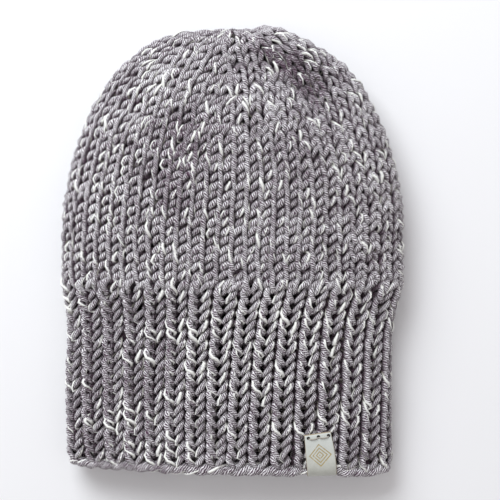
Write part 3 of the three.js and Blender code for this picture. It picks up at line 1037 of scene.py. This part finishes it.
class Graph:
    """A few words for building the nodes of one material."""

    def __init__(self, name):
        self.name = name
        self.material = bpy.data.materials.new(name)
        self.material.use_nodes = True
        self.tree = self.material.node_tree
        self.shader = self.tree.nodes["Principled BSDF"]

    def feed(self, socket, value):
        if isinstance(value, bpy.types.NodeSocket):
            self.tree.links.new(value, socket)
        else:
            socket.default_value = value

    def node(self, kind, *values):
        """A new node, with its first inputs fed."""
        node = self.tree.nodes.new("ShaderNode" + kind)
        for socket, value in zip(node.inputs, values):
            self.feed(socket, value)
        return node

    def math(self, operation, *values):
        node = self.node("Math", *values)
        node.operation = operation
        return node.outputs[0]

    def plus(self, a, b):
        return self.math("ADD", a, b)

    def less(self, a, b):
        return self.math("SUBTRACT", a, b)

    def times(self, a, b):
        return self.math("MULTIPLY", a, b)

    def ridge(self, lay):
        """1 on the back of a ply and 0 in the grooves beside it."""
        return self.math("ABSOLUTE", self.math("SINE", self.times(lay, math.pi)))

    def vector(self, *values):
        return self.node("CombineXYZ", *values).outputs[0]

    def uv(self, name):
        source = self.node("UVMap")
        source.uv_map = name
        split = self.node("SeparateXYZ", source.outputs[0])
        return split.outputs[0], split.outputs[1]

    def noise(self, name, vector=None):
        """A noise of the table, at a vector or, without one, at the place in metres."""
        position = self.node("TexCoord").outputs["Object"] if vector is None else vector
        node = self.node("TexNoise", position)
        for socket, value in zip(NOISE_COLUMNS, NOISES[name]):
            node.inputs[socket].default_value = value
        return node.outputs["Fac"]

    def stretch(self, value, name):
        node = self.node("MapRange", value, *RANGES[name])
        node.interpolation_type = "SMOOTHSTEP"
        return node.outputs[0]

    def ramp(self, value, stops):
        node = self.node("ValToRGB", value)
        elements = node.color_ramp.elements
        while len(elements) < len(stops):
            elements.new(0.5)
        for element, (at, colour) in zip(elements, stops):
            element.position = at
            element.color = (*colour, 1)
        return node.outputs[0]

    def mix(self, factor, a, b, mode="MIX"):
        node = self.node("Mix")
        node.data_type = "RGBA"
        node.blend_type = mode
        for name, value in (("Factor_Float", factor), ("A_Color", a), ("B_Color", b)):
            socket = next(item for item in node.inputs if item.identifier == name)
            self.feed(socket, value if isinstance(value, (float, bpy.types.NodeSocket)) else (*value, 1))
        return next(item for item in node.outputs if item.identifier == "Result_Color")

    def painted_depth_shade(self, shade):
        """Painted shade: fibres lying deep in the wall are darkened as if shadowed, those at its front or at
        its very back are left clear.
        """
        deep, _ = self.uv("deep")
        back = self.stretch(self.times(deep, -1.0), "back clears")
        face = self.math("MAXIMUM", self.stretch(deep, "front clears"), back)
        half_lit = tuple(HALF_LIT["level"] + HALF_LIT["share"] * part for part in shade)
        return self.ramp(face, ((0.0, shade), (0.5, half_lit), (1.0, (1, 1, 1))))

    def bump(self, height, depth):
        node = self.node("Bump")
        node.inputs["Distance"].default_value = depth * MM
        self.feed(node.inputs["Height"], height)
        self.feed(self.shader.inputs["Normal"], node.outputs[0])

    def finish(self, colour):
        self.feed(self.shader.inputs["Base Color"], colour)
        for socket, value in zip(FINISH_COLUMNS, FINISHES[self.name]):
            self.shader.inputs[socket].default_value = value
        return self.material


def wool_tone(g, fibre, ridge):
    """How pale the wool is: pale and darker fibres, paler on the backs of the plies with painted shade in the
    grooves between them, and darker or paler at the spots of painted shade and painted light, partly wool
    spun darker or paler.
    """
    patch = g.noise("wool patch")
    uneven = g.noise("wool uneven")
    _, painted_light_shade_and_dye = g.uv("deep")
    tone = g.plus(g.times(fibre, TONE_PARTS["fibre"]), g.times(patch, TONE_PARTS["patch"]))
    tone = g.less(tone, TONE_PARTS["shift"])
    # Painted shade: darker in the grooves between the plies, paler on their backs
    tone = g.plus(tone, g.times(g.less(ridge, RIDGE_MIDDLE), TONE_PARTS["ridge"]))
    tone = g.plus(tone, g.times(g.less(uneven, UNEVEN_MIDDLE), TONE_PARTS["uneven"]))
    # Darker or paler at the spots of painted shade and painted light, partly darker or paler spun wool
    return g.less(tone, g.times(painted_light_shade_and_dye, TONE_PARTS["painted_light_shade_and_dye"]))


def yarn_material():
    """Grey marl wool: twisted plies with painted shade in their grooves, pale and darker fibres along them,
    and painted shade deep in the wall.
    """
    g = Graph("marl_wool")
    u, w = g.uv("yarn")
    lay = g.math("MULTIPLY_ADD", w, PLIES, g.times(u, -1 / PLY_PITCH))
    lay = g.plus(lay, g.times(g.noise("ply"), PLY_WOBBLE))
    ridge = g.ridge(lay)
    around = g.times(g.math("COSINE", g.times(w, TURN)), FIBRE_RUN["around"])
    run = g.vector(g.times(lay, FIBRE_RUN["lay"]), around, g.times(u, FIBRE_RUN["along"]))
    fibre = g.noise("wool fibre", run)
    shade = g.ramp(wool_tone(g, fibre, ridge), WOOL_SHADES)
    # Painted shade deep in the wall, multiplied into the wool's colour
    shade = g.mix(1.0, shade, g.painted_depth_shade(DEEP_PAINTED_SHADE), "MULTIPLY")
    height = g.plus(g.times(ridge, WOOL_RELIEF["ridge"]), g.times(fibre, WOOL_RELIEF["fibre"]))
    g.bump(height, WOOL_RELIEF["depth"])
    return g.finish(shade)


def strand_material():
    """Off-white wool, hardly twisted, with painted shade where it lies deep in the wall."""
    g = Graph("strand_wool")
    u, w = g.uv("yarn")
    run = g.vector(g.times(u, STRAND_RUN["along"]), g.times(w, STRAND_RUN["around"]))
    fibre = g.noise("strand fibre", run)
    # Painted shade deep in the wall, multiplied into the strand's colour
    colour = g.mix(1.0, g.ramp(fibre, STRAND_SHADES), g.painted_depth_shade(STRAND_DEEP_PAINTED_SHADE), "MULTIPLY")
    g.bump(fibre, STRAND_RELIEF)
    return g.finish(colour)


def thread_material():
    """Waxed sewing thread, with painted shade in the grooves between its plies."""
    g = Graph("thread")
    u, w = g.uv("yarn")
    ridge = g.ridge(g.plus(g.times(w, THREAD_RUN["around"]), g.times(u, THREAD_RUN["along"])))
    g.bump(ridge, THREAD_RELIEF)
    # Painted shade: darker in the grooves between the plies
    return g.finish(g.ramp(ridge, THREAD_SHADES))


def nested_diamonds(g, x, y):
    """The print: lines of diamonds in each other, worn off in places."""
    up = g.less(y, PRINT["y"])
    spread = g.plus(g.math("DIVIDE", g.math("ABSOLUTE", x), PRINT["narrow"]), g.math("ABSOLUTE", up))
    line = g.stretch(g.math("PINGPONG", spread, PRINT["step"]), "print line")
    inside = g.stretch(spread, "print reach")
    return g.times(g.times(line, inside), g.stretch(g.noise("wear"), "print wear"))


def beside_holes(g, x, y):
    """0 in the pricked holes, where painted shade goes, and 1 beside them."""
    distance = FAR_FROM_HOLES
    for across, down in LABEL_HOLES:
        squares = g.plus(g.math("POWER", g.less(x, across), 2.0), g.math("POWER", g.less(y, down), 2.0))
        distance = g.math("MINIMUM", distance, g.math("SQRT", squares))
    return g.stretch(distance, "hole")


def leather_material():
    """Pale tanned leather with a rubbed gold print, pricked holes with painted shade in them, raw edges, and
    painted light near the top.
    """
    g = Graph("pale_leather")
    x, y = g.uv("leaf")
    lift, _ = g.uv("skin")
    grain = g.noise("grain")
    tone = g.plus(g.times(grain, LEATHER_TONE["grain"]), g.times(g.noise("cloud"), LEATHER_TONE["cloud"]))
    # Painted light: the leather is made paler near the label's top
    skin = g.mix(g.stretch(y, "painted light at top"), g.ramp(tone, LEATHER_SHADES), LEATHER_PAINTED_LIGHT)
    gold = nested_diamonds(g, x, y)
    skin = g.mix(gold, skin, GOLD)
    edges = g.math("MAXIMUM", g.stretch(lift, "skin edge"), g.stretch(y, "top edge"))
    skin = g.mix(g.times(edges, g.stretch(grain, "raw grain")), skin, LEATHER_RAW)
    pit = beside_holes(g, x, y)
    # Painted shade in the pricked holes
    skin = g.mix(pit, HOLE_PAINTED_SHADE, skin)
    height = g.plus(g.times(grain, LEATHER_RELIEF["grain"]), g.times(pit, LEATHER_RELIEF["hole"]))
    g.bump(g.less(height, g.times(gold, LEATHER_RELIEF["print"])), LEATHER_RELIEF["depth"])
    return g.finish(skin)


# Stage, light and camera

def stage():
    corners = [(x * FLOOR_HALF, y * FLOOR_HALF, 0) for x, y in ((-1, -1), (1, -1), (1, 1), (-1, 1))]
    mesh = bpy.data.meshes.new("floor")
    mesh.from_pydata(corners, [], [(0, 1, 2, 3)])
    mesh.materials.append(Graph("floor_white").finish((*FLOOR_COLOUR, 1)))
    add_object("floor", mesh)


def lights():
    world = bpy.data.worlds.new("studio")
    bpy.context.scene.world = world
    world.use_nodes = True
    background = world.node_tree.nodes["Background"]
    background.inputs["Color"].default_value = (*SKY_COLOUR, 1)
    background.inputs["Strength"].default_value = SKY_STRENGTH
    data = bpy.data.lights.new("key", "AREA")
    data.size = KEY_LIGHT["size"]
    data.energy = KEY_LIGHT["power"]
    data.color = KEY_LIGHT["colour"]
    light = add_object("key", data)
    light.location = KEY_LIGHT["position"]
    aim = Vector(KEY_LIGHT["target"]) - Vector(KEY_LIGHT["position"])
    light.rotation_euler = aim.to_track_quat("-Z", "Y").to_euler()


def camera():
    data = bpy.data.cameras.new("camera")
    data.sensor_fit = "HORIZONTAL"
    data.sensor_width = CAMERA["sensor"]
    data.lens = data.sensor_width * CAMERA["above"] / (FRAME_SIZE * PIXEL * MM)
    data.clip_start = CAMERA["clip"]
    eye = add_object("camera", data)
    x = (FRAME_SIZE / 2 - ORIGIN_PIXEL[0]) * PIXEL * MM
    y = (ORIGIN_PIXEL[1] - FRAME_SIZE / 2) * PIXEL * MM
    eye.location = (x, y, CAMERA["level"] + CAMERA["above"])
    bpy.context.scene.camera = eye
    bpy.context.scene.view_settings.view_transform = "Standard"


# Build everything

YARN = yarn_material()
STRAND = strand_material()
cast_on_edge()
knit("rib", RIB_BANDS, rib_course)
knit("crown", CROWN_BANDS, crown_course)
label()
stage()
lights()
camera()
